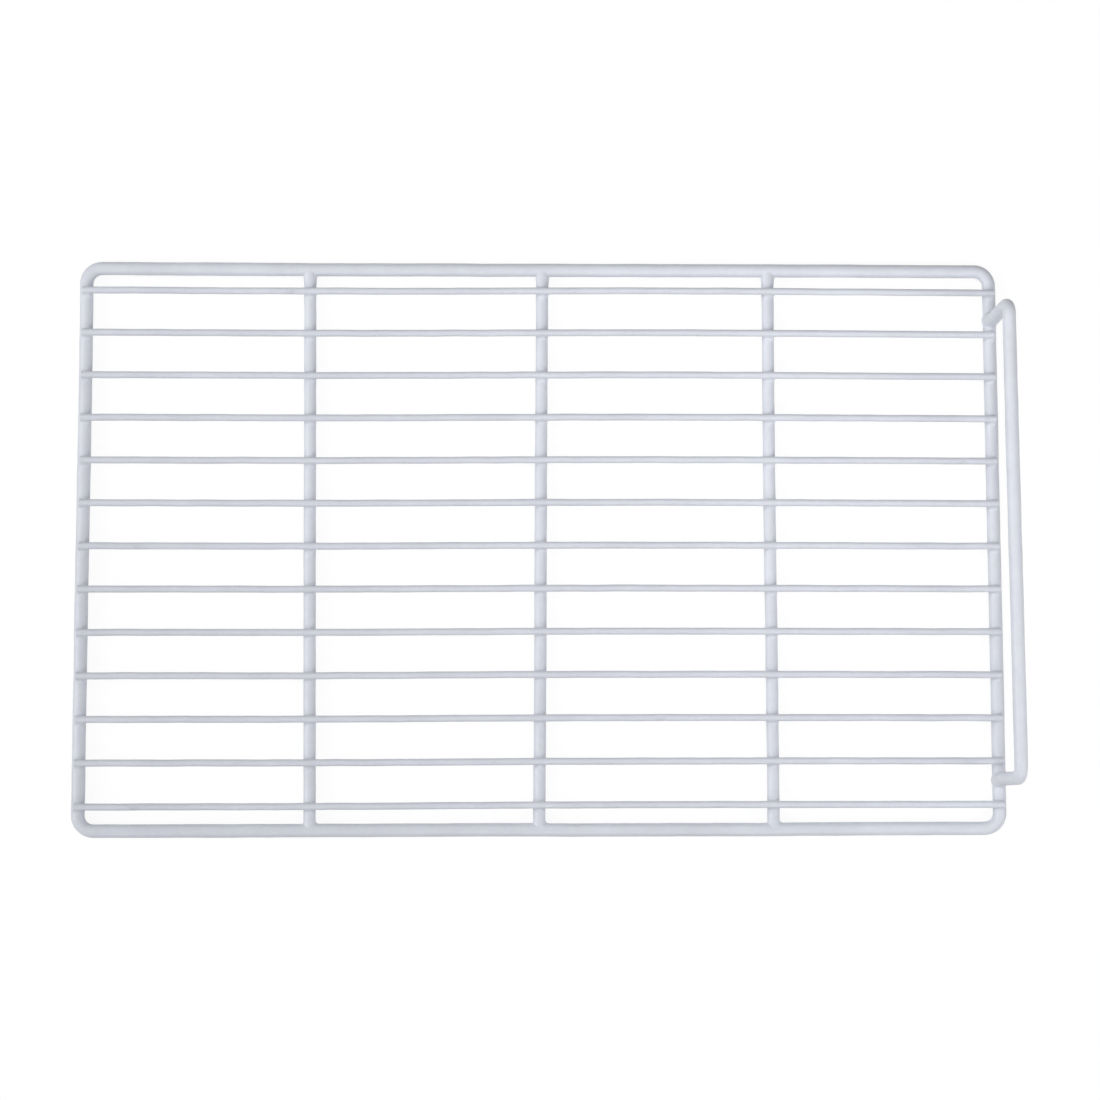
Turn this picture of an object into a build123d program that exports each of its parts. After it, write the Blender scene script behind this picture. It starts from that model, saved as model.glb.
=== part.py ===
from build123d import *
from math import cos, radians, sin
import os

# Coated wire shelf for a counter refrigerator, in millimetres with +Z up.
# X runs from the front rail to the rear rail, and Y from side to side.
# The origin is at the middle of the frame, on the underside that slides on the runners.
# Every rod is modelled over its plastic coat. Rods are seated on one another by cutting
# the upper or shorter rod with the very solid that carries it, so that welded faces meet.

# Driving dimensions: the bare steel rods and the coat dipped over all of them
FRAME_STEEL = 7.0
BAR_STEEL = 6.4
WIRE_STEEL = 3.4
STOP_STEEL = 7.0
COAT = 0.3

# Driving dimensions: the rim frame, one rod bent into a closed rectangle
FRAME_LENGTH = 530.0
FRAME_WIDTH = 330.0
CORNER_BEND = 8.8          # centre-line radius of the four bends

# Driving dimensions: the cross bars that span the frame under the wires
BAR_COUNT = 3
BAR_PITCH = 132.0
BAR_DROP = 0.2             # crown of a bar below the crown of the frame

# Driving dimensions: the shelf wires, welded on top of the rails and bars
WIRE_COUNT = 13
WIRE_EDGE = 13.6           # side rail axis to the first wire's axis
WIRE_SETBACK = 1.75        # wire end short of the frame's outer side
WELD_SINK = 1.0            # how far the weld sinks a wire into the frame's crown

# Driving dimensions: the rear stop, a rod bent into a low bridge over the rear rail
STOP_HEIGHT = 50.0         # top of the stop above the frame's underside
STOP_LEAN = 4.0            # degrees outwards from upright
STOP_BEND = 7.0            # centre-line radius of its two bends
STOP_FROM_WIRE = 10.0      # arm axis outboard of the second wire's axis
FOOT_LAP = 0.85            # weld collar past the rail's side
FOOT_DROP = 3.4            # weld collar down the rail from its crown
FOOT_FLARE = 5.0           # height above the crown where the arm starts to widen

# Rod sizes over the coat
frame_rod = FRAME_STEEL + 2 * COAT
bar_rod = BAR_STEEL + 2 * COAT
wire_rod = WIRE_STEEL + 2 * COAT
stop_rod = STOP_STEEL + 2 * COAT

# Where the rod axes lie
rail_x = (FRAME_LENGTH - frame_rod) / 2
rail_y = (FRAME_WIDTH - frame_rod) / 2
rail_z = frame_rod / 2
bar_z = frame_rod - BAR_DROP - bar_rod / 2
wire_z = frame_rod - WELD_SINK + wire_rod / 2
wire_pitch = 2 * (rail_y - WIRE_EDGE) / (WIRE_COUNT - 1)
second_wire_y = rail_y - WIRE_EDGE - wire_pitch
arm_y = second_wire_y + STOP_FROM_WIRE

# The stop is drawn in a leaning plane whose origin is on the rear rail's axis
lean = radians(STOP_LEAN)
stop_plane = Plane(origin=(rail_x, 0, rail_z), x_dir=(0, 1, 0), z_dir=(cos(lean), 0, -sin(lean)))
stop_rise = (STOP_HEIGHT - stop_rod / 2 - rail_z) / cos(lean)
foot_radius = frame_rod / 2 + FOOT_LAP
foot_bottom = frame_rod / 2 - FOOT_DROP
foot_top = frame_rod / 2 + FOOT_FLARE


def spaced(count, pitch):
    """Places along one axis, a pitch apart and centred on zero."""
    return [(index - (count - 1) / 2) * pitch for index in range(count)]


def bent_rod(path, diameter):
    """A round rod that follows a path of straight runs and tangent bends."""
    section = Plane(origin=path @ 0, z_dir=path % 0) * Circle(diameter / 2)
    return sweep(section, path=path)


def make_rim_frame():
    """The closed rectangle of rod that carries everything else."""
    outline = RectangleRounded(2 * rail_x, 2 * rail_y, CORNER_BEND)
    return bent_rod((Pos(0, 0, rail_z) * outline).wire(), frame_rod)


def make_cross_bar(x, rim):
    """A straight bar between the side rails, its ends coped to the rails' round sides."""
    bar = Pos(x, 0, bar_z) * Rot(90, 0, 0) * Cylinder(bar_rod / 2, 2 * rail_y)
    return bar - rim


def make_shelf_wire(y, carriers):
    """A straight wire cropped square, saddled on each rail and bar that it crosses."""
    length = FRAME_LENGTH - 2 * WIRE_SETBACK
    wire = Pos(0, y, wire_z) * Rot(0, 90, 0) * Cylinder(wire_rod / 2, length)
    for carrier in carriers:
        wire = wire - carrier
    return wire


def make_stop_foot(side):
    """The end of one arm, upset by the weld into a collar that laps the rail."""
    middle = (foot_top + foot_bottom) / 2
    collar = Cone(foot_radius, stop_rod / 2, foot_top - foot_bottom)
    return Pos(side * arm_y, middle, 0) * Rot(-90, 0, 0) * collar


def make_rear_stop(rim):
    """The bridge of rod that keeps things from sliding off the rear of the shelf."""
    path = FilletPolyline(
        (-arm_y, foot_top),
        (-arm_y, stop_rise),
        (arm_y, stop_rise),
        (arm_y, foot_top),
        radius=STOP_BEND,
    )
    bridge = bent_rod(path.wire(), stop_rod)
    stop = bridge + make_stop_foot(-1) + make_stop_foot(1)
    return stop_plane * stop - rim


def write_node(name, solid):
    """One file for each piece, named as the piece."""
    solid.label = name
    export_step(solid, os.path.join("parts", name + ".step"))


os.makedirs("parts", exist_ok=True)

rim_frame = make_rim_frame()
cross_bars = [make_cross_bar(x, rim_frame) for x in spaced(BAR_COUNT, BAR_PITCH)]
shelf_wires = [make_shelf_wire(y, [rim_frame, *cross_bars]) for y in spaced(WIRE_COUNT, wire_pitch)]
rear_stop = make_rear_stop(rim_frame)

write_node("rim_frame", rim_frame)
for number, cross_bar in enumerate(cross_bars, start=1):
    write_node(f"cross_bar_{number}", cross_bar)
for number, shelf_wire in enumerate(shelf_wires, start=1):
    write_node(f"shelf_wire_{number:02d}", shelf_wire)
write_node("rear_stop", rear_stop)
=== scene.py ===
# %% [markdown]
# # A white coated wire shelf
# The object is a refrigerator shelf. A thick rod is bent into a rim, three bars cross it, thirteen
# thin wires lie on top, and a bent rod stands at the rear as a stop. Everything is welded, and then
# the whole shelf is dipped in white plastic. The CAD frame already holds each rod at its true place,
# but with facets and sharp seams. In this lesson we give every rod a smooth skin, let the coat pool
# in the corners where rods meet, and finish it with a satin white material.

# %% Load the frame
import math

import bmesh
import bpy
import numpy as np
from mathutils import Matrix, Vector


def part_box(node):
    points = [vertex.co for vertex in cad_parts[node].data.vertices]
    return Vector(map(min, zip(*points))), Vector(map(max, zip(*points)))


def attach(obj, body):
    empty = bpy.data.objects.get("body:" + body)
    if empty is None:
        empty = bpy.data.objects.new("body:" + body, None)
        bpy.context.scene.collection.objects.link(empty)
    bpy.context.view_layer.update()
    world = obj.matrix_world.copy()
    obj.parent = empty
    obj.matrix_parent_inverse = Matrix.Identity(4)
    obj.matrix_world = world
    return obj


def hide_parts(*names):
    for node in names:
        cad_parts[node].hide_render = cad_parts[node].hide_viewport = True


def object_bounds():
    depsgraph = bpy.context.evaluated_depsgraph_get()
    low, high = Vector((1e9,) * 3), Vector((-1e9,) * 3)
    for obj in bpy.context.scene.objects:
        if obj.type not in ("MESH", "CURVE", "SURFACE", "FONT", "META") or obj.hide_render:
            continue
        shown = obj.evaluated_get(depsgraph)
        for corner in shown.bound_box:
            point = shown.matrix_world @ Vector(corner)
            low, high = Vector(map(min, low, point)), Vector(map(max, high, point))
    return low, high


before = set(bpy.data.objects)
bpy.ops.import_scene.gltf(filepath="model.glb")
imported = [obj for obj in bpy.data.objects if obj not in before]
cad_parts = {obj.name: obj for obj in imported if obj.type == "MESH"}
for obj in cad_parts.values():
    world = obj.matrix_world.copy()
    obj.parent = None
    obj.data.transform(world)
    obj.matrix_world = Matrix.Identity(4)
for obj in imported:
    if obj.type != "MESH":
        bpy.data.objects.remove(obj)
cad_low, cad_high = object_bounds()
print("CAD box in metres:", tuple(round(v, 4) for v in cad_high - cad_low))

# %% [markdown]
# ## Reading the rods from the frame
# We could type every length again, but then the scene and the CAD could drift apart. Instead we ask
# the frame for the box of each node. A faceted rod is a hair thinner than the true round one, so each
# length is rounded to a tenth of a millimetre, which gives back the size that was drawn.

# %% Measure the rods
MM = 0.001


def tenth(metres):
    """A length rounded to a tenth of a millimetre."""
    return round(metres / MM, 1) * MM


bar_nodes = sorted(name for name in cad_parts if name.startswith("cross_bar"))
wire_nodes = sorted(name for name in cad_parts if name.startswith("shelf_wire"))

rim_low, rim_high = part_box("rim_frame")
rail_radius = tenth(rim_high.z - rim_low.z) / 2
rail_x = tenth(rim_high.x) - rail_radius
rail_y = tenth(rim_high.y) - rail_radius
rail_z = tenth(rim_low.z) + rail_radius

bar_low, bar_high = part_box(bar_nodes[0])
bar_radius = tenth(bar_high.x - bar_low.x) / 2
bar_z = tenth(bar_high.z) - bar_radius
bar_pitch = tenth(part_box(bar_nodes[1])[0].x - bar_low.x)

wire_low, wire_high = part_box(wire_nodes[0])
wire_radius = tenth(wire_high.y - wire_low.y) / 2
wire_z = tenth(wire_high.z) - wire_radius
wire_reach = tenth(wire_high.x)
wire_pitch = tenth(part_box(wire_nodes[1])[0].y - wire_low.y)

print("rod radii in mm:", [round(r / MM, 2) for r in (rail_radius, bar_radius, wire_radius)])
print("bars", len(bar_nodes), "at", round(bar_pitch / MM, 2), "mm; wires", len(wire_nodes), "at",
      round(wire_pitch / MM, 2), "mm")

# %% [markdown]
# ## Small helpers for node trees
# Geometry Nodes suit this shelf well, because almost everything on it is a rod along a path or one
# shape repeated on a grid. Building a tree by code means many calls of the same kind, so three short
# helpers keep the steps readable: one starts a tree with named inputs, one places a node and fills
# its sockets, and one does sums.

# %% Tree helpers
def new_tree(name, kind, inputs, outputs):
    """A node tree of one kind, with named input and output sockets."""
    tree = bpy.data.node_groups.new(name, kind)
    for label, socket in inputs.items():
        tree.interface.new_socket(name=label, in_out="INPUT", socket_type="NodeSocket" + socket)
    for label, socket in outputs.items():
        tree.interface.new_socket(name=label, in_out="OUTPUT", socket_type="NodeSocket" + socket)
    return tree


def place(tree, kind, sockets=None, **settings):
    """One node. A socket is linked if it gets another socket, and set if it gets a value."""
    made = tree.nodes.new(kind)
    for setting, value in settings.items():
        setattr(made, setting, value)
    for label, value in (sockets or {}).items():
        if isinstance(value, bpy.types.NodeSocket):
            tree.links.new(value, made.inputs[label])
        else:
            made.inputs[label].default_value = value
    return made


def calc(tree, operation, *values):
    """The result of one Math node."""
    return place(tree, "ShaderNodeMath", dict(enumerate(values)), operation=operation).outputs[0]


def vector_calc(tree, operation, *values):
    """The vector that one Vector Math node gives."""
    return place(tree, "ShaderNodeVectorMath", dict(enumerate(values)), operation=operation).outputs[0]


def make_piece(name, tree, values, mesh=None):
    """Runs a tree on a mesh, and keeps the result as a plain mesh object at the origin."""
    maker = bpy.data.objects.new(name + "_maker", mesh or bpy.data.meshes.new(name + "_maker"))
    bpy.context.scene.collection.objects.link(maker)
    modifier = maker.modifiers.new("maker", "NODES")
    modifier.node_group = tree
    for item in tree.interface.items_tree:
        if item.in_out == "INPUT" and item.name in values:
            modifier[item.identifier] = values[item.name]
    depsgraph = bpy.context.evaluated_depsgraph_get()
    made = bpy.data.meshes.new_from_object(maker.evaluated_get(depsgraph))
    maker.modifiers.remove(modifier)
    bpy.data.objects.remove(maker)
    made.name = name
    piece = bpy.data.objects.new(name, made)
    bpy.context.scene.collection.objects.link(piece)
    print(name, "has", len(made.polygons), "faces")
    return piece


print("helpers ready")

# %% [markdown]
# ## The coat is never quite even
# Molten plastic runs before it sets, so a dipped rod swells and thins by a tenth of a millimetre or
# so. Welding by hand also leaves two of the bars a little askew, and the heat bows the wires and pulls
# them aside. We could bend each rod by itself, but then the welds between them would open. Instead one
# node group shifts every point by an amount that depends on its place alone, so pieces that touch move
# together and their seams stay closed.

# %% Uneven coat group
RIPPLE = 0.34 * MM
RIPPLE_LENGTH = 17 * MM
BOW = 1.0 * MM
BOW_LENGTH = 210 * MM
BOW_SHARES = (1.0, 1.0, 0.2)

# Hand welding: how far each bar's +Y end stands out of true, and how far heat pulled the wires aside
BAR_SKEW = (-0.95 * MM, 1.4 * MM, 0.0)
SKEW_FULL = 12 * MM
SKEW_NONE = 50 * MM
WIRE_PULL = 0.65 * MM
PULL_MIDDLE = 80 * MM
PULL_REACH = 190 * MM


def faded(tree, value, middle, full, none):
    """One up to some distance from the middle, easing to nought at a greater one."""
    away = calc(tree, "ABSOLUTE", calc(tree, "SUBTRACT", value, middle))
    sockets = {"Value": away, "From Min": full, "From Max": none, "To Min": 1.0, "To Max": 0.0}
    return place(tree, "ShaderNodeMapRange", sockets, interpolation_type="SMOOTHSTEP").outputs[0]


uneven_coat = new_tree(
    "Uneven coat",
    "GeometryNodeTree",
    {
        "Geometry": "Geometry",
        "Ripple": "Float",
        "Ripple Length": "Float",
        "Bow": "Float",
        "Bow Length": "Float",
    },
    {"Geometry": "Geometry"},
)
entry = place(uneven_coat, "NodeGroupInput").outputs
here = place(uneven_coat, "GeometryNodeInputPosition").outputs[0]
shifts = []
for amount, length in (("Ripple", "Ripple Length"), ("Bow", "Bow Length")):
    per_metre = calc(uneven_coat, "DIVIDE", 1.0, entry[length])
    sockets = {"Vector": here, "Scale": per_metre, "Detail": 0.0}
    noise = place(uneven_coat, "ShaderNodeTexNoise", sockets)
    centred = vector_calc(uneven_coat, "SUBTRACT", noise.outputs["Color"], (0.5, 0.5, 0.5))
    sockets = {0: centred, "Scale": entry[amount]}
    grown = place(uneven_coat, "ShaderNodeVectorMath", sockets, operation="SCALE")
    shifts.append(grown.outputs[0])
flat_bow = vector_calc(uneven_coat, "MULTIPLY", shifts[1], BOW_SHARES)
across = place(uneven_coat, "ShaderNodeSeparateXYZ", {0: here}).outputs
skew = 0.0
for index, end_shift in enumerate(BAR_SKEW):
    bar_x = (index - (len(BAR_SKEW) - 1) / 2) * bar_pitch
    on_bar = faded(uneven_coat, across["X"], bar_x, SKEW_FULL, SKEW_NONE)
    skew = calc(uneven_coat, "MULTIPLY_ADD", on_bar, end_shift, skew)
along_bar = calc(uneven_coat, "DIVIDE", across["Y"], rail_y)
outer_wire = (len(wire_nodes) - 1) / 2 * wire_pitch + wire_radius
on_wire = faded(uneven_coat, across["Y"], 0.0, outer_wire, rail_y - rail_radius)
pulled = faded(uneven_coat, across["X"], PULL_MIDDLE, 0.0, PULL_REACH)
pull_share = calc(uneven_coat, "MULTIPLY", on_wire, pulled)
out_of_true = place(
    uneven_coat,
    "ShaderNodeCombineXYZ",
    {
        "X": calc(uneven_coat, "MULTIPLY", skew, along_bar),
        "Y": calc(uneven_coat, "MULTIPLY", pull_share, WIRE_PULL),
    },
)
coat_shift = vector_calc(uneven_coat, "ADD", shifts[0], flat_bow)
shift = vector_calc(uneven_coat, "ADD", coat_shift, out_of_true.outputs[0])
shifted = place(uneven_coat, "GeometryNodeSetPosition", {0: entry["Geometry"], "Offset": shift})
place(uneven_coat, "NodeGroupOutput", {0: shifted.outputs[0]})

unevenness = {
    "Ripple": RIPPLE,
    "Ripple Length": RIPPLE_LENGTH,
    "Bow": BOW,
    "Bow Length": BOW_LENGTH,
}


def finish_tree(tree, geometry, coat):
    """The end of every tree here: real geometry, uneven coat, smooth shading and the material."""
    solid = place(tree, "GeometryNodeRealizeInstances", {0: geometry})
    uneven = place(tree, "GeometryNodeGroup", node_tree=uneven_coat)
    tree.links.new(solid.outputs[0], uneven.inputs["Geometry"])
    for label, value in unevenness.items():
        uneven.inputs[label].default_value = value
    smooth = place(tree, "GeometryNodeSetShadeSmooth", {0: uneven.outputs[0]})
    painted = place(tree, "GeometryNodeSetMaterial", {0: smooth.outputs[0], "Material": coat})
    place(tree, "NodeGroupOutput", {0: painted.outputs[0]})


print("uneven coat group has", len(uneven_coat.nodes), "nodes")

# %% [markdown]
# ## The white coat
# The finish is thick satin plastic, a cool white. A single flat colour would look like paper, so
# three node groups give it life: a slow mottling where the coat is thicker or thinner, a fine orange
# peel in the surface, and a few faint scuffs where the photograph shows them. The groups put out
# only masks and heights. The shader itself stays in the material, where the export can read it.

# %% Coat effect groups
WAVE_DETAIL = {"Patch Size": 2.0, "Grain Size": 3.0}
PATCH_SHARE = 0.7
GRAIN_SHARE = 0.3
DIMPLE_DETAIL = 1.0
STREAK_STRETCH = (0.45, 1.0, 1.0)
STREAK_SIZE = 1.5 * MM
STREAK_DETAIL = 2.0

mottling = new_tree(
    "Coat mottling",
    "ShaderNodeTree",
    {"Vector": "Vector", "Patch Size": "Float", "Grain Size": "Float"},
    {"Tone": "Float", "Haze": "Float"},
)
entry = place(mottling, "NodeGroupInput").outputs
waves = []
for label, detail in WAVE_DETAIL.items():
    per_metre = calc(mottling, "DIVIDE", 1.0, entry[label])
    sockets = {"Vector": entry["Vector"], "Scale": per_metre, "Detail": detail}
    waves.append(place(mottling, "ShaderNodeTexNoise", sockets).outputs[0])
patch_part = calc(mottling, "MULTIPLY", waves[0], PATCH_SHARE)
grain_part = calc(mottling, "MULTIPLY", waves[1], GRAIN_SHARE)
tone = calc(mottling, "ADD", patch_part, grain_part)
place(mottling, "NodeGroupOutput", {"Tone": tone, "Haze": waves[1]})

orange_peel = new_tree(
    "Orange peel", "ShaderNodeTree", {"Vector": "Vector", "Dimple Size": "Float"}, {"Height": "Float"}
)
entry = place(orange_peel, "NodeGroupInput").outputs
per_metre = calc(orange_peel, "DIVIDE", 1.0, entry["Dimple Size"])
sockets = {"Vector": entry["Vector"], "Scale": per_metre, "Detail": DIMPLE_DETAIL}
dimples = place(orange_peel, "ShaderNodeTexNoise", sockets)
place(orange_peel, "NodeGroupOutput", {"Height": dimples.outputs[0]})

scuff_mark = new_tree(
    "Scuff mark",
    "ShaderNodeTree",
    {"Vector": "Vector", "Place": "Vector", "Reach": "Float", "Strength": "Float"},
    {"Mask": "Float"},
)
entry = place(scuff_mark, "NodeGroupInput").outputs
offset = vector_calc(scuff_mark, "SUBTRACT", entry["Vector"], entry["Place"])
along_wire = vector_calc(scuff_mark, "MULTIPLY", offset, STREAK_STRETCH)
away = place(scuff_mark, "ShaderNodeVectorMath", {0: along_wire}, operation="LENGTH").outputs["Value"]
nearness = calc(scuff_mark, "SUBTRACT", 1.0, calc(scuff_mark, "DIVIDE", away, entry["Reach"]))
sockets = {"Vector": entry["Vector"], "Scale": 1 / STREAK_SIZE, "Detail": STREAK_DETAIL}
streaks = place(scuff_mark, "ShaderNodeTexNoise", sockets)
broken = calc(scuff_mark, "MULTIPLY", calc(scuff_mark, "MAXIMUM", nearness, 0.0), streaks.outputs[0])
place(scuff_mark, "NodeGroupOutput", {"Mask": calc(scuff_mark, "MULTIPLY", broken, entry["Strength"])})
print("coat effects:", mottling.name, "/", orange_peel.name, "/", scuff_mark.name)

# %% Coat material
COAT_PALE = (0.745, 0.772, 0.838, 1.0)
COAT_DEEP = (0.690, 0.712, 0.778, 1.0)
PATCH_SIZE = 26 * MM
GRAIN_SIZE = 3.2 * MM
TONE_RANGE = (0.35, 0.65)
HAZE_RANGE = (0.3, 0.7)
SATIN_RANGE = (0.36, 0.50)
DIMPLE_SIZE = 1.9 * MM
DIMPLE_STRENGTH = 0.35
DIMPLE_DEPTH = 0.06 * MM
COAT_IOR = 1.5
SCUFF_GREY = (0.33, 0.33, 0.34, 1.0)
SCUFF_REACH = 2.0 * MM
SCUFF_ASIDE = 0.4 * wire_radius
SCUFF_UP = 0.9 * wire_radius

# A Mix node has sockets for every kind of value, and these are the ones for colours
MIX_FIRST = 6
MIX_SECOND = 7
MIX_RESULT = 2

# The strength of each scuff, by its millimetres along the wire and the wire's number from the -Y side
scuffs_along = {
    (-143.3, 12): 0.5,
    (-229.6, 0): 0.45,
    (-229.4, 6): 0.35,
    (67.3, 2): 0.4,
    (242.4, 8): 0.35,
}

white_coat = bpy.data.materials.new("white_coat")
white_coat.use_nodes = True
white_coat.node_tree.nodes.clear()
coat = white_coat.node_tree
spot = place(coat, "ShaderNodeTexCoord").outputs["Object"]
patches = place(coat, "ShaderNodeGroup", node_tree=mottling)
coat.links.new(spot, patches.inputs["Vector"])
patches.inputs["Patch Size"].default_value = PATCH_SIZE
patches.inputs["Grain Size"].default_value = GRAIN_SIZE
peel = place(coat, "ShaderNodeGroup", node_tree=orange_peel)
coat.links.new(spot, peel.inputs["Vector"])
peel.inputs["Dimple Size"].default_value = DIMPLE_SIZE

scuffed = None
for (along, row), strength in scuffs_along.items():
    mark = place(coat, "ShaderNodeGroup", node_tree=scuff_mark)
    coat.links.new(spot, mark.inputs["Vector"])
    across = (row - (len(wire_nodes) - 1) / 2) * wire_pitch
    mark.inputs["Place"].default_value = (along * MM, across - SCUFF_ASIDE, wire_z + SCUFF_UP)
    mark.inputs["Reach"].default_value = SCUFF_REACH
    mark.inputs["Strength"].default_value = strength
    scuffed = mark.outputs[0] if scuffed is None else calc(coat, "ADD", scuffed, mark.outputs[0])


def spread_over(value, given, wanted):
    """A mask whose given range is spread over the wanted one."""
    sockets = {
        "Value": value,
        "From Min": given[0],
        "From Max": given[1],
        "To Min": wanted[0],
        "To Max": wanted[1],
    }
    return place(coat, "ShaderNodeMapRange", sockets).outputs[0]


def blend(share, first, second):
    """A colour that goes from the first to the second as the share grows."""
    sockets = {0: share, MIX_FIRST: first, MIX_SECOND: second}
    return place(coat, "ShaderNodeMix", sockets, data_type="RGBA").outputs[MIX_RESULT]


tone = spread_over(patches.outputs["Tone"], TONE_RANGE, (0.0, 1.0))
white = blend(tone, COAT_PALE, COAT_DEEP)
marked = blend(scuffed, white, SCUFF_GREY)
satin = spread_over(patches.outputs["Haze"], HAZE_RANGE, SATIN_RANGE)
relief = place(
    coat,
    "ShaderNodeBump",
    {"Strength": DIMPLE_STRENGTH, "Distance": DIMPLE_DEPTH, "Height": peel.outputs["Height"]},
)
skin = place(
    coat,
    "ShaderNodeBsdfPrincipled",
    {"Base Color": marked, "Roughness": satin, "Normal": relief.outputs[0], "IOR": COAT_IOR},
)
place(coat, "ShaderNodeOutputMaterial", {"Surface": skin.outputs[0]})
print("material", white_coat.name, "has", len(coat.nodes), "nodes and", len(scuffs_along), "scuffs")

# %% [markdown]
# ## Rods that follow a path: the rim and the rear stop
# The rim is one rod bent round four corners, and the stop is one rod bent twice. Both are a few
# straight runs with round bends, so one tree serves both: it turns a handful of corner points into a
# curve, rounds the corners, and sweeps a circle along it. Extra rings along the straight runs give
# the uneven coat something to move.

# %% Bent rod tree
BEND_STEPS = 24

bent_rod = new_tree(
    "Bent rod",
    "GeometryNodeTree",
    {
        "Geometry": "Geometry",
        "Bend Radius": "Float",
        "Rod Radius": "Float",
        "Ring Step": "Float",
        "Sides": "Int",
    },
    {"Geometry": "Geometry"},
)
entry = place(bent_rod, "NodeGroupInput").outputs
path = place(bent_rod, "GeometryNodeMeshToCurve", {0: entry["Geometry"]})
rounded = place(
    bent_rod,
    "GeometryNodeFilletCurve",
    {"Curve": path.outputs[0], "Count": BEND_STEPS, "Radius": entry["Bend Radius"]},
    mode="POLY",
)
stepped = place(
    bent_rod,
    "GeometryNodeResampleCurve",
    {"Curve": rounded.outputs[0], "Length": entry["Ring Step"]},
    mode="LENGTH",
)
section = place(
    bent_rod,
    "GeometryNodeCurvePrimitiveCircle",
    {"Resolution": entry["Sides"], "Radius": entry["Rod Radius"]},
)
swept = place(
    bent_rod,
    "GeometryNodeCurveToMesh",
    {"Curve": stepped.outputs[0], "Profile Curve": section.outputs[0], "Fill Caps": True},
)
finish_tree(bent_rod, swept.outputs[0], white_coat)


def corner_path(name, points, closed):
    """A mesh of bare edges through the corner points of a bent rod."""
    mesh = bpy.data.meshes.new(name)
    edges = [(i, i + 1) for i in range(len(points) - 1)]
    if closed:
        edges.append((len(points) - 1, 0))
    mesh.from_pydata(points, edges, [])
    return mesh


print("bent rod tree has", len(bent_rod.nodes), "nodes")

# %% Rim frame
CORNER_BEND = 8.8 * MM
RING_STEP = 1.2 * MM
ROD_SIDES = 32

corner_signs = ((-1, -1), (1, -1), (1, 1), (-1, 1))
rim_corners = [(sx * rail_x, sy * rail_y, rail_z) for sx, sy in corner_signs]
coated_rim = make_piece(
    "coated_rim_frame",
    bent_rod,
    {"Bend Radius": CORNER_BEND, "Rod Radius": rail_radius, "Ring Step": RING_STEP, "Sides": ROD_SIDES},
    corner_path("rim_corners", rim_corners, True),
)

# %% [markdown]
# The stop leans outwards by a few degrees. Its arms run down to the axis of the rear rail, so that
# their ends are buried in it, and its top bar is as high as the frame says. The real one was bent by
# hand and is crooked, so three of its four corner points are shifted by a millimetre or two.

# %% Rear stop
STOP_LEAN = math.radians(4.0)
STOP_BEND = 7.0 * MM
STOP_FROM_WIRE = 10.0 * MM
NEAR_CORNER_SHIFT = (0.5, 0.0, 0.0)
FAR_CORNER_SHIFT = (-0.7, 1.6, 0.0)
FAR_FOOT_SHIFT = (0.0, -2.0, 0.0)

stop_radius = rail_radius
stop_top = tenth(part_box("rear_stop")[1].z)
stop_rise = (stop_top - stop_radius - rail_z) / math.cos(STOP_LEAN)
second_wire = (len(wire_nodes) - 1) / 2 - 1
arm_y = second_wire * wire_pitch + STOP_FROM_WIRE
arm_way = Vector((math.sin(STOP_LEAN), 0.0, math.cos(STOP_LEAN)))
rail_point = Vector((rail_x, 0.0, rail_z))


def on_stop(side, rise, shift=(0.0, 0.0, 0.0)):
    """A point on one arm's axis, so far up from the rail's axis, shifted by millimetres out of true."""
    return rail_point + Vector((0.0, side * arm_y, 0.0)) + arm_way * rise + Vector(shift) * MM


near_foot = on_stop(-1, 0.0)
near_corner = on_stop(-1, stop_rise, NEAR_CORNER_SHIFT)
far_corner = on_stop(1, stop_rise, FAR_CORNER_SHIFT)
far_foot = on_stop(1, 0.0, FAR_FOOT_SHIFT)
stop_corners = [near_foot, near_corner, far_corner, far_foot]
coated_stop = make_piece(
    "coated_rear_stop",
    bent_rod,
    {"Bend Radius": STOP_BEND, "Rod Radius": stop_radius, "Ring Step": RING_STEP, "Sides": ROD_SIDES},
    corner_path("stop_corners", stop_corners, False),
)

# %% [markdown]
# ## Rods in a row: the bars and the wires
# The bars and the wires are straight and evenly spaced, so one tree makes a single rod and copies it
# along a line of points. A cropped wire end comes out of the dip rounded over. Rather than add a
# separate cap, the tree places the last few rings on a quarter circle and shrinks them to match,
# which leaves one smooth skin from end to end. The weld at the far rail has spread the bars a little,
# so the tree can also widen a rod towards one end.

# %% Straight rods tree
QUARTER_TURN = math.pi / 2

straight_rods = new_tree(
    "Straight rods",
    "GeometryNodeTree",
    {
        "Count": "Int",
        "Pitch": "Float",
        "Half Length": "Float",
        "Rod Radius": "Float",
        "End Rounding": "Float",
        "Weld Swell": "Float",
        "Weld From End": "Float",
        "Swell Length": "Float",
        "Height": "Float",
        "Turn": "Float",
        "Rings": "Int",
        "End Rings": "Int",
        "Sides": "Int",
    },
    {"Geometry": "Geometry"},
)
entry = place(straight_rods, "NodeGroupInput").outputs
ring = place(straight_rods, "GeometryNodeInputIndex").outputs[0]
last = calc(straight_rods, "SUBTRACT", entry["Rings"], 1.0)
from_end = calc(straight_rods, "SUBTRACT", last, ring)


def rounding_angle(rings_away):
    """How far round the quarter circle a ring lies: nought unless it is one of the last few."""
    away = calc(straight_rods, "DIVIDE", rings_away, entry["End Rings"])
    nearness = calc(straight_rods, "MAXIMUM", calc(straight_rods, "SUBTRACT", 1.0, away), 0.0)
    return calc(straight_rods, "MULTIPLY", nearness, QUARTER_TURN)


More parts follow.
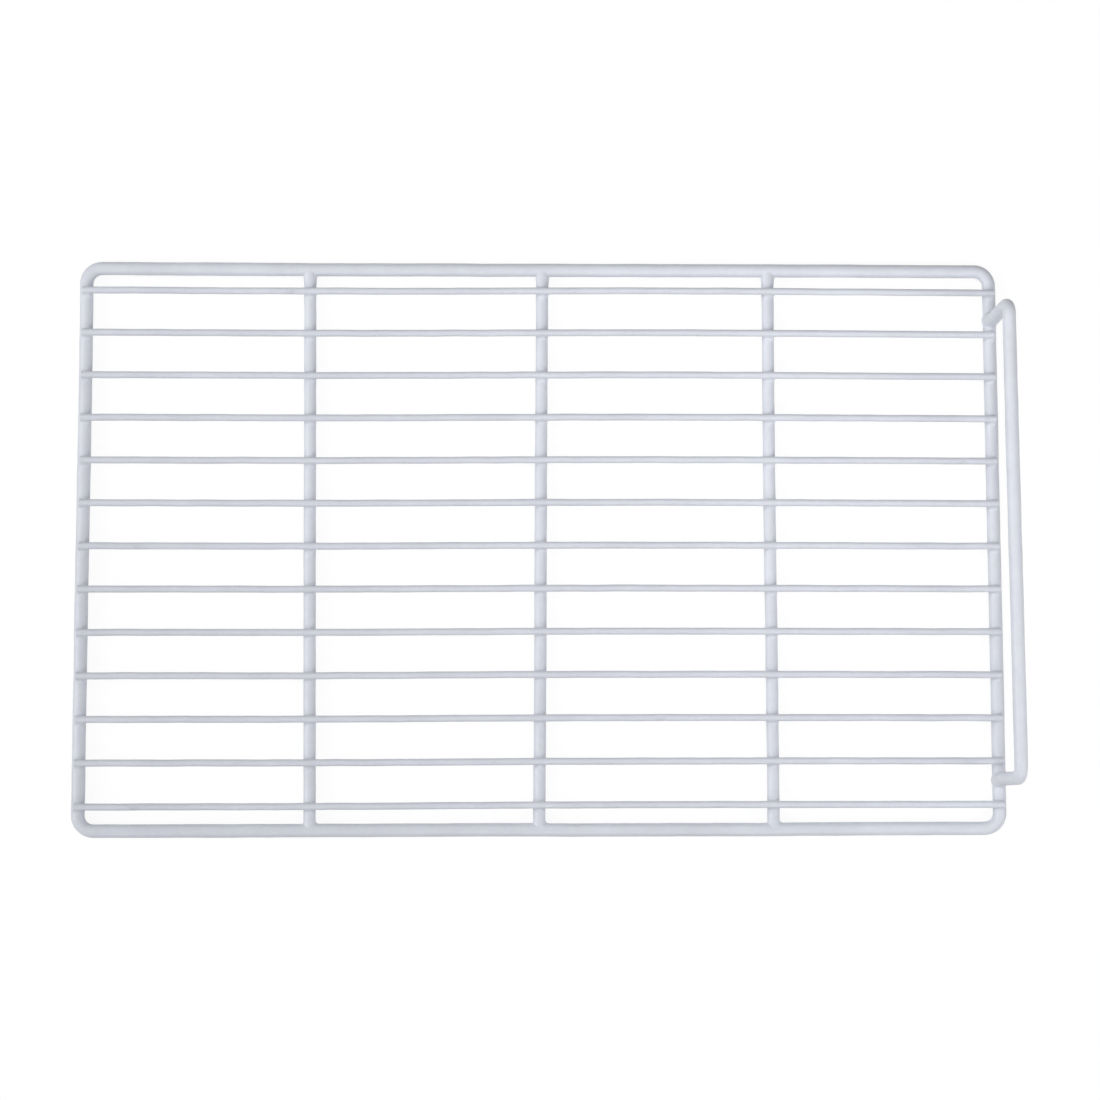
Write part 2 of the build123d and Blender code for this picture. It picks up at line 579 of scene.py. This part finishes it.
start_angle = rounding_angle(ring)
end_angle = rounding_angle(from_end)
straight = calc(straight_rods, "SUBTRACT", entry["Half Length"], entry["End Rounding"])
middle = place(
    straight_rods,
    "ShaderNodeMapRange",
    {
        "Value": ring,
        "From Min": entry["End Rings"],
        "From Max": calc(straight_rods, "SUBTRACT", last, entry["End Rings"]),
        "To Min": calc(straight_rods, "MULTIPLY", straight, -1.0),
        "To Max": straight,
    },
)
swing = calc(
    straight_rods,
    "SUBTRACT",
    calc(straight_rods, "SINE", end_angle),
    calc(straight_rods, "SINE", start_angle),
)
along = calc(
    straight_rods,
    "ADD",
    middle.outputs[0],
    calc(straight_rods, "MULTIPLY", entry["End Rounding"], swing),
)
closing = calc(straight_rods, "COSINE", calc(straight_rods, "MAXIMUM", start_angle, end_angle))
core = calc(straight_rods, "SUBTRACT", entry["Rod Radius"], entry["End Rounding"])
ring_radius = calc(
    straight_rods,
    "ADD",
    core,
    calc(straight_rods, "MULTIPLY", entry["End Rounding"], closing),
)
line = place(straight_rods, "GeometryNodeCurvePrimitiveLine")
rings = place(
    straight_rods,
    "GeometryNodeResampleCurve",
    {"Curve": line.outputs[0], "Count": entry["Rings"]},
    mode="COUNT",
)
ring_place = place(straight_rods, "ShaderNodeCombineXYZ", {"X": along}).outputs[0]
spread = place(straight_rods, "GeometryNodeSetPosition", {0: rings.outputs[0], "Position": ring_place})
section = place(
    straight_rods,
    "GeometryNodeCurvePrimitiveCircle",
    {"Resolution": entry["Sides"], "Radius": 1.0},
)
rod = place(
    straight_rods,
    "GeometryNodeCurveToMesh",
    {
        "Curve": spread.outputs[0],
        "Profile Curve": section.outputs[0],
        "Scale": ring_radius,
        "Fill Caps": True,
    },
)
position = place(straight_rods, "GeometryNodeInputPosition").outputs[0]
here = place(straight_rods, "ShaderNodeSeparateXYZ", {0: position})
weld_at = calc(straight_rods, "SUBTRACT", entry["Half Length"], entry["Weld From End"])
swell = place(
    straight_rods,
    "ShaderNodeMapRange",
    {
        "Value": here.outputs["X"],
        "From Min": calc(straight_rods, "SUBTRACT", weld_at, entry["Swell Length"]),
        "From Max": weld_at,
        "To Min": 0.0,
        "To Max": calc(straight_rods, "DIVIDE", entry["Weld Swell"], entry["Rod Radius"]),
    },
    interpolation_type="SMOOTHSTEP",
)
sideways = calc(straight_rods, "MULTIPLY", here.outputs["Y"], swell.outputs[0])
widening = place(straight_rods, "ShaderNodeCombineXYZ", {"Y": sideways}).outputs[0]
swollen = place(straight_rods, "GeometryNodeSetPosition", {0: rod.outputs[0], "Offset": widening})
gaps = calc(straight_rods, "SUBTRACT", entry["Count"], 1.0)
first = calc(straight_rods, "MULTIPLY", calc(straight_rods, "MULTIPLY", gaps, entry["Pitch"]), -0.5)
start = place(straight_rods, "ShaderNodeCombineXYZ", {"Y": first, "Z": entry["Height"]}).outputs[0]
step = place(straight_rods, "ShaderNodeCombineXYZ", {"Y": entry["Pitch"]}).outputs[0]
row = place(
    straight_rods,
    "GeometryNodeMeshLine",
    {"Count": entry["Count"], "Start Location": start, "Offset": step},
)
copies = place(
    straight_rods,
    "GeometryNodeInstanceOnPoints",
    {"Points": row.outputs[0], "Instance": swollen.outputs[0]},
)
turn = place(straight_rods, "ShaderNodeCombineXYZ", {"Z": entry["Turn"]}).outputs[0]
turned = place(straight_rods, "GeometryNodeTransform", {0: copies.outputs[0], "Rotation": turn})
finish_tree(straight_rods, turned.outputs[0], white_coat)
print("straight rods tree has", len(straight_rods.nodes), "nodes")

# %% Cross bars and shelf wires
END_ROUNDING = 0.5 * MM
WELD_SWELL = 0.4 * MM
SWELL_LENGTH = 7 * MM
BAR_RINGS = 230
BAR_END_RINGS = 4
WIRE_RINGS = 270
WIRE_END_RINGS = 7
WIRE_SIDES = 20

coated_bars = make_piece(
    "coated_cross_bars",
    straight_rods,
    {
        "Count": len(bar_nodes),
        "Pitch": bar_pitch,
        "Half Length": rail_y,
        "Rod Radius": bar_radius,
        "End Rounding": END_ROUNDING,
        "Weld Swell": WELD_SWELL,
        "Weld From End": rail_radius,
        "Swell Length": SWELL_LENGTH,
        "Height": bar_z,
        "Turn": QUARTER_TURN,
        "Rings": BAR_RINGS,
        "End Rings": BAR_END_RINGS,
        "Sides": ROD_SIDES,
    },
)
coated_wires = make_piece(
    "coated_shelf_wires",
    straight_rods,
    {
        "Count": len(wire_nodes),
        "Pitch": wire_pitch,
        "Half Length": wire_reach,
        "Rod Radius": wire_radius,
        "End Rounding": END_ROUNDING,
        "Weld Swell": 0.0,
        "Weld From End": rail_radius,
        "Swell Length": SWELL_LENGTH,
        "Height": wire_z,
        "Turn": 0.0,
        "Rings": WIRE_RINGS,
        "End Rings": WIRE_END_RINGS,
        "Sides": WIRE_SIDES,
    },
)

# %% [markdown]
# ## Where rods meet, the coat pools
# At each weld the liquid coat climbs into the corner and sets as a small hollow fillet. A boolean
# with a bevel would break up on round crossings, and remeshing the whole shelf would need millions of
# faces. There is an exact way: roll a ball round the corner so that it touches both rods. Its centre
# draws a closed loop, and the skin of the coat is the arc on the ball between its two touching
# points. The coat ran to one side while it set, so the ball grows and shrinks a little as it goes
# round. Each ring reaches a little way under both rods' skins, so no seam shows.

# %% Rolling ball fillets
ARC_STEPS = 7
LOOP_STEPS = 56
LAP = 0.4 * MM
LAP_SINK = 0.14 * MM
RING_BACK = 1.8
WIRE_POOL = 1.55 * MM
BAR_POOL = 1.0 * MM
HALVINGS = 48
TINY = 1e-9

# How much larger a pool is towards +X and +Y, as a share of its size
WIRE_RUN = (0.2, -0.4)
BAR_RUN = (0.45, -0.4)


def unit(vectors):
    """Each row scaled to length one."""
    return vectors / np.linalg.norm(vectors, axis=1, keepdims=True)


def pool_ring(name, centres, on_first, on_second, ball):
    """A closed ring whose visible skin is the ball's arc from one rod to the other."""
    ball = np.broadcast_to(ball, len(centres))[:, None]
    first = unit(on_first - centres)
    second = unit(on_second - centres)
    opening = np.arccos(np.clip((first * second).sum(1, keepdims=True), -1.0, 1.0))
    rows = [on_first - LAP * unit(second - np.cos(opening) * first) + LAP_SINK * first]
    for share in np.linspace(0.0, 1.0, ARC_STEPS + 1):
        way = np.sin((1 - share) * opening) * first + np.sin(share * opening) * second
        rows.append(centres + ball * way / np.sin(opening))
    rows.append(on_second - LAP * unit(first - np.cos(opening) * second) + LAP_SINK * second)
    rows.append(centres + RING_BACK * ball * unit(first + second))
    count = len(centres)
    quads = []
    for row in range(len(rows)):
        here_row = row * count
        next_row = (row + 1) % len(rows) * count
        for step in range(count):
            after = (step + 1) % count
            quads.append((here_row + step, here_row + after, next_row + after, next_row + step))
    mesh = bpy.data.meshes.new(name)
    mesh.from_pydata(np.concatenate(rows).tolist(), [], quads)
    shell = bmesh.new()
    shell.from_mesh(mesh)
    bmesh.ops.recalc_face_normals(shell, faces=shell.faces)
    shell.to_mesh(mesh)
    shell.free()
    return mesh


def pooled(size, ran, x_way, y_way):
    """The radius of a pool on one side of a weld: larger where the coat ran to while it set."""
    return size * (1 + ran[0] * x_way + ran[1] * y_way)


def wire_seat(name, carrier_radius, rise, wire_end, facing):
    """The ring round a wire that lies across a carrier along Y, with its end facing +X or -X."""
    around = np.linspace(0.0, 2 * np.pi, LOOP_STEPS, endpoint=False)
    ways = np.stack([np.cos(around), np.sin(around)], axis=1)
    ball = pooled(WIRE_POOL, WIRE_RUN, facing * ways[:, 0], ways[:, 1])
    core_radius = wire_radius - END_ROUNDING
    core_end = wire_end - END_ROUNDING
    reach = carrier_radius + ball

    def ball_at(out):
        flat = ways * out[:, None]
        height = np.sqrt(np.maximum(reach**2 - flat[:, 0] ** 2, 0.0))
        centre = np.column_stack([flat, height])
        from_axis = centre - np.array([0.0, 0.0, rise])
        radial = np.hypot(from_axis[:, 1], from_axis[:, 2])
        share = np.minimum(radial, core_radius) / np.maximum(radial, TINY)
        along = np.minimum(centre[:, 0], core_end)
        nearest = np.column_stack([along, from_axis[:, 1] * share, from_axis[:, 2] * share + rise])
        return centre, nearest

    inside = np.zeros(LOOP_STEPS)
    past_carrier = reach / np.maximum(abs(ways[:, 0]), TINY)
    past_wire = (wire_radius + ball) / np.maximum(abs(ways[:, 1]), TINY)
    outside = np.minimum(past_carrier, past_wire)
    for _ in range(HALVINGS):
        middle = (inside + outside) / 2
        centre, nearest = ball_at(middle)
        touching = np.linalg.norm(centre - nearest, axis=1) < END_ROUNDING + ball
        inside = np.where(touching, middle, inside)
        outside = np.where(touching, outside, middle)
    centre, nearest = ball_at(outside)
    on_wire = nearest + END_ROUNDING * unit(centre - nearest)
    shrink = carrier_radius / reach
    on_carrier = centre * np.column_stack([shrink, np.ones(LOOP_STEPS), shrink])
    mirror = np.array([facing, 1.0, 1.0])
    return pool_ring(name, centre * mirror, on_wire * mirror, on_carrier * mirror, ball)


def bar_seat(name, half_width, facing):
    """The ring round a bar, perhaps spread sideways, that butts into the rail on its +Y or -Y side."""
    around = np.linspace(0.0, 2 * np.pi, LOOP_STEPS, endpoint=False)
    ball = pooled(BAR_POOL, BAR_RUN, np.cos(around), facing)
    bar_rise = bar_z - rail_z
    on_bar = np.column_stack([half_width * np.cos(around), bar_radius * np.sin(around) + bar_rise])
    off_bar = unit(np.column_stack([bar_radius * np.cos(around), half_width * np.sin(around)]))
    side, height = (on_bar + off_bar * ball[:, None]).T
    inward = -np.sqrt((rail_radius + ball) ** 2 - height**2)
    centre = np.column_stack([side, inward, height])
    shrink = rail_radius / (rail_radius + ball)
    on_rail = centre * np.column_stack([np.ones(LOOP_STEPS), shrink, shrink])
    mirror = np.array([1.0, facing, 1.0])
    on_bar = np.column_stack([on_bar[:, 0], inward, on_bar[:, 1]])
    return pool_ring(name, centre * mirror, on_bar * mirror, on_rail * mirror, ball)


over_bar = wire_seat("pool_over_bar", bar_radius, wire_z - bar_z, wire_reach, 1)
over_front = wire_seat("pool_over_front_rail", rail_radius, wire_z - rail_z, wire_reach - rail_x, -1)
over_rear = wire_seat("pool_over_rear_rail", rail_radius, wire_z - rail_z, wire_reach - rail_x, 1)
at_near_end = bar_seat("pool_at_near_bar_end", bar_radius, -1)
at_far_end = bar_seat("pool_at_far_bar_end", bar_radius + WELD_SWELL, 1)
print("faces in one pool:", len(over_bar.polygons))

# %% [markdown]
# ## The stop's feet
# An arm of the stop is as thick as the rail it stands on, and the weld has swollen its foot into a
# collar that laps over the rail's sides. No ball can roll round that corner, since the two rods are
# flush at the sides. So we model it as the welder did: lump the parts together, then let the lump
# melt. A voxel remesh fuses a stub of rail, a stub of arm and a flared collar, and smoothing softens
# them into one blob that is a hair thinner than the rods, so only the weld itself stands proud.

# %% Weld at one foot
FOOT_LAP = 1.2 * MM
FOOT_LOW = 0.4 * MM
FOOT_HIGH = 8.8 * MM
FOOT_STUB = 12 * MM
FOOT_SPREAD = 1.1 * MM
FOOT_SOFTEN = 14
SOFTEN_FACTOR = 0.5
FOOT_VOXEL = 0.26 * MM
STUB_SIDES = 64
HAIR = 0.05 * MM


def add_round(shell, low_radius, high_radius, start, end):
    """A closed round stub from one point to another, added to a bmesh."""
    way = end - start
    turn = way.to_track_quat("Z", "Y").to_matrix().to_4x4()
    turn.translation = (start + end) / 2
    bmesh.ops.create_cone(
        shell,
        cap_ends=True,
        segments=STUB_SIDES,
        radius1=low_radius,
        radius2=high_radius,
        depth=way.length,
        matrix=turn,
    )


def melted_foot(name, foot, corner, outwards):
    """The blob round one foot, about the foot's own place on the rail's axis."""
    way = (corner - foot).normalized()
    spread = Vector((0.0, outwards * FOOT_SPREAD, 0.0))
    rail_stub = Vector((0.0, FOOT_STUB, 0.0))
    rail_thin = rail_radius - HAIR
    arm_thin = stop_radius - HAIR
    lump = bmesh.new()
    add_round(lump, rail_thin, rail_thin, -rail_stub, rail_stub)
    add_round(lump, rail_radius + FOOT_LAP, arm_thin, spread + way * FOOT_LOW, way * FOOT_HIGH)
    add_round(lump, arm_thin, arm_thin, way * FOOT_LOW, way * FOOT_STUB)
    mesh = bpy.data.meshes.new(name)
    lump.to_mesh(mesh)
    lump.free()
    melting = bpy.data.objects.new(name, mesh)
    bpy.context.scene.collection.objects.link(melting)
    fuse = melting.modifiers.new("fuse", "REMESH")
    fuse.mode = "VOXEL"
    fuse.voxel_size = FOOT_VOXEL
    soften = melting.modifiers.new("soften", "SMOOTH")
    soften.factor = SOFTEN_FACTOR
    soften.iterations = FOOT_SOFTEN
    depsgraph = bpy.context.evaluated_depsgraph_get()
    melted = bpy.data.meshes.new_from_object(melting.evaluated_get(depsgraph))
    bpy.data.objects.remove(melting)
    return melted


near_blob = melted_foot("near_foot_blob", near_foot, near_corner, -1)
far_blob = melted_foot("far_foot_blob", far_foot, far_corner, 1)
print("faces in the two feet:", len(near_blob.polygons), len(far_blob.polygons))

# %% [markdown]
# ## Setting the pools on every weld
# All welds of one kind lie on a regular grid, so one tree puts a copy of their pool on each grid point.
# A row of welds is a grid that is one point wide, and a single weld is a grid of one point, so the
# same tree sets the feet of the stop too. The pools at opposite edges face opposite ways, so each edge
# has a pool of its own.

# %% Weld grid tree
weld_grid = new_tree(
    "Weld grid",
    "GeometryNodeTree",
    {
        "Pool": "Object",
        "Count X": "Int",
        "Count Y": "Int",
        "Span X": "Float",
        "Span Y": "Float",
        "Middle": "Vector",
    },
    {"Geometry": "Geometry"},
)
entry = place(weld_grid, "NodeGroupInput").outputs
grid = place(
    weld_grid,
    "GeometryNodeMeshGrid",
    {
        "Vertices X": entry["Count X"],
        "Vertices Y": entry["Count Y"],
        "Size X": entry["Span X"],
        "Size Y": entry["Span Y"],
    },
)
welds = place(weld_grid, "GeometryNodeSetPosition", {0: grid.outputs[0], "Offset": entry["Middle"]})
pool = place(weld_grid, "GeometryNodeObjectInfo", {"Object": entry["Pool"]})
pools = place(
    weld_grid,
    "GeometryNodeInstanceOnPoints",
    {"Points": welds.outputs[0], "Instance": pool.outputs["Geometry"]},
)
finish_tree(weld_grid, pools.outputs[0], white_coat)


def set_pools(name, mesh, counts, spans, middle):
    """One pool on each point of a grid of welds, as one piece."""
    sample = bpy.data.objects.new(name + "_sample", mesh)
    bpy.context.scene.collection.objects.link(sample)
    values = {
        "Pool": sample,
        "Count X": counts[0],
        "Count Y": counts[1],
        "Span X": spans[0],
        "Span Y": spans[1],
        "Middle": middle,
    }
    piece = make_piece(name, weld_grid, values)
    bpy.data.objects.remove(sample)
    return piece


bars = len(bar_nodes)
wires = len(wire_nodes)
bar_span = (bars - 1) * bar_pitch
wire_span = (wires - 1) * wire_pitch

# Each kind of weld: its shape, how many along X and Y, how far they span, and their middle
along_rail = ((1, wires), (0.0, wire_span))
bar_ends = ((bars, 1), (bar_span, 0.0))
one_weld = ((1, 1), (0.0, 0.0))
weld_plan = {
    "pools_wires_over_bars": (over_bar, (bars, wires), (bar_span, wire_span), (0.0, 0.0, bar_z)),
    "pools_wires_over_front_rail": (over_front, *along_rail, (-rail_x, 0.0, rail_z)),
    "pools_wires_over_rear_rail": (over_rear, *along_rail, (rail_x, 0.0, rail_z)),
    "pools_at_near_bar_ends": (at_near_end, *bar_ends, (0.0, -rail_y, rail_z)),
    "pools_at_far_bar_ends": (at_far_end, *bar_ends, (0.0, rail_y, rail_z)),
    "weld_at_near_foot": (near_blob, *one_weld, near_foot),
    "weld_at_far_foot": (far_blob, *one_weld, far_foot),
}
weld_pools = [set_pools(name, *plan) for name, plan in weld_plan.items()]

# %% [markdown]
# ## Putting every piece on the shelf's body
# Every piece rides on the one body of the shelf. The smooth rods stand for the CAD rods, which are
# then hidden here and keep their job in the collision model.

# %% Ride on the body and hide the CAD rods
coated_rods = {
    coated_rim: ["rim_frame"],
    coated_bars: bar_nodes,
    coated_wires: wire_nodes,
    coated_stop: ["rear_stop"],
}
for piece in [*coated_rods, *weld_pools]:
    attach(piece, "root")
for piece, nodes in coated_rods.items():
    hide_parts(*nodes)
print(len(coated_rods) + len(weld_pools), "pieces ride on the shelf")

# %% [markdown]
# ## Floor, light and camera
# The shelf lies on a white table that fades into a white room. To stay white the floor glows towards
# the camera, and it still takes the shelf's soft shadow. The light is plain and soft: a large panel at
# the left and another on the near side give the rods their shade, three small ones close above lift
# the right, the middle and the far side, and a dim room fills in all round.

# %% White floor and room
FLOOR_GLOW = 0.90
FLOOR_SEEN = (0.14, 0.14, 0.14, 1.0)
FLOOR_PALE = (0.62, 0.62, 0.62, 1.0)
FLOOR_GAP = 0.5 * MM
FLOOR_HALF = 6.0
ROOM_LIGHT = 0.10
ROOM_SEEN = 1.0
WHITE = (1.0, 1.0, 1.0, 1.0)


def seen_directly(tree):
    """One where the camera, a gloss or a see-through ray looks, and nought for soft light."""
    rays = place(tree, "ShaderNodeLightPath").outputs
    sharp = calc(tree, "MAXIMUM", rays["Is Glossy Ray"], rays["Is Transmission Ray"])
    return calc(tree, "MAXIMUM", rays["Is Camera Ray"], sharp)


floor_finish = bpy.data.materials.new("white_floor")
floor_finish.use_nodes = True
table = floor_finish.node_tree
table.nodes.clear()
pale = place(table, "ShaderNodeBsdfDiffuse", {"Color": FLOOR_PALE})
shaded = place(table, "ShaderNodeBsdfDiffuse", {"Color": FLOOR_SEEN})
glow = place(table, "ShaderNodeEmission", {"Color": WHITE, "Strength": FLOOR_GLOW})
bright = place(table, "ShaderNodeAddShader", {0: shaded.outputs[0], 1: glow.outputs[0]})
mixed = place(
    table,
    "ShaderNodeMixShader",
    {0: seen_directly(table), 1: pale.outputs[0], 2: bright.outputs[0]},
)
place(table, "ShaderNodeOutputMaterial", {"Surface": mixed.outputs[0]})

floor_mesh = bpy.data.meshes.new("floor")
floor_level = cad_low.z - FLOOR_GAP
floor_corners = [(sx * FLOOR_HALF, sy * FLOOR_HALF, floor_level) for sx, sy in corner_signs]
floor_mesh.from_pydata(floor_corners, [], [(0, 1, 2, 3)])
floor_mesh.materials.append(floor_finish)
floor = bpy.data.objects.new("floor", floor_mesh)
bpy.context.scene.collection.objects.link(floor)

room = bpy.data.worlds.new("white_room")
room.use_nodes = True
room.node_tree.nodes.clear()
soft = place(room.node_tree, "ShaderNodeBackground", {"Color": WHITE, "Strength": ROOM_LIGHT})
plain = place(room.node_tree, "ShaderNodeBackground", {"Color": WHITE, "Strength": ROOM_SEEN})
around = place(
    room.node_tree,
    "ShaderNodeMixShader",
    {0: seen_directly(room.node_tree), 1: soft.outputs[0], 2: plain.outputs[0]},
)
place(room.node_tree, "ShaderNodeOutputWorld", {"Surface": around.outputs[0]})
bpy.context.scene.world = room
print("floor at", round(floor_level / MM, 2), "mm")

# %% Lamps
# Each panel: where it stands and how wide it is, in metres, and its power in watts
lamp_plan = {
    "left_panel": ((-2.4, -0.1, 1.4), 1.8, 41.0),
    "near_panel": ((0.4, -2.2, 2.0), 2.0, 25.0),
    "right_panel": ((0.7, -0.22, 0.45), 0.4, 1.55),
    "middle_panel": ((0.15, 0.1, 0.45), 0.4, 0.61),
    "far_panel": ((-0.3, 0.4, 0.4), 0.4, 0.56),
}
for name, (spot_at, size, power) in lamp_plan.items():
    lamp = bpy.data.lights.new(name, "AREA")
    lamp.shape = "SQUARE"
    lamp.size = size
    lamp.energy = power
    holder = bpy.data.objects.new(name, lamp)
    holder.location = spot_at
    holder.rotation_euler = (-Vector(spot_at)).to_track_quat("-Z", "Y").to_euler()
    holder.visible_camera = False
    bpy.context.scene.collection.objects.link(holder)
print("lamps:", ", ".join(lamp_plan))

# %% [markdown]
# The camera stands where the photographer stood: almost straight above, a little towards the near
# side, with a moderate lens. Its place was found by fitting the rods' straight lines to the picture.

# %% Camera
CAMERA_PLACE = (-35.72 * MM, -138.31 * MM, 1391.57 * MM)
CAMERA_TILT = (0.0981, -0.0293, -0.0027)
FOCAL_PIXELS = 2434.3
IMAGE_PIXELS = 1100
SENSOR_WIDTH = 36.0

lens = bpy.data.cameras.new("photo_camera")
lens.sensor_width = SENSOR_WIDTH
lens.lens = FOCAL_PIXELS / IMAGE_PIXELS * lens.sensor_width
camera = bpy.data.objects.new("photo_camera", lens)
camera.location = CAMERA_PLACE
camera.rotation_euler = CAMERA_TILT
bpy.context.scene.collection.objects.link(camera)
bpy.context.scene.camera = camera
bpy.context.scene.view_settings.view_transform = "Standard"
print("lens", round(lens.lens, 2), "mm")
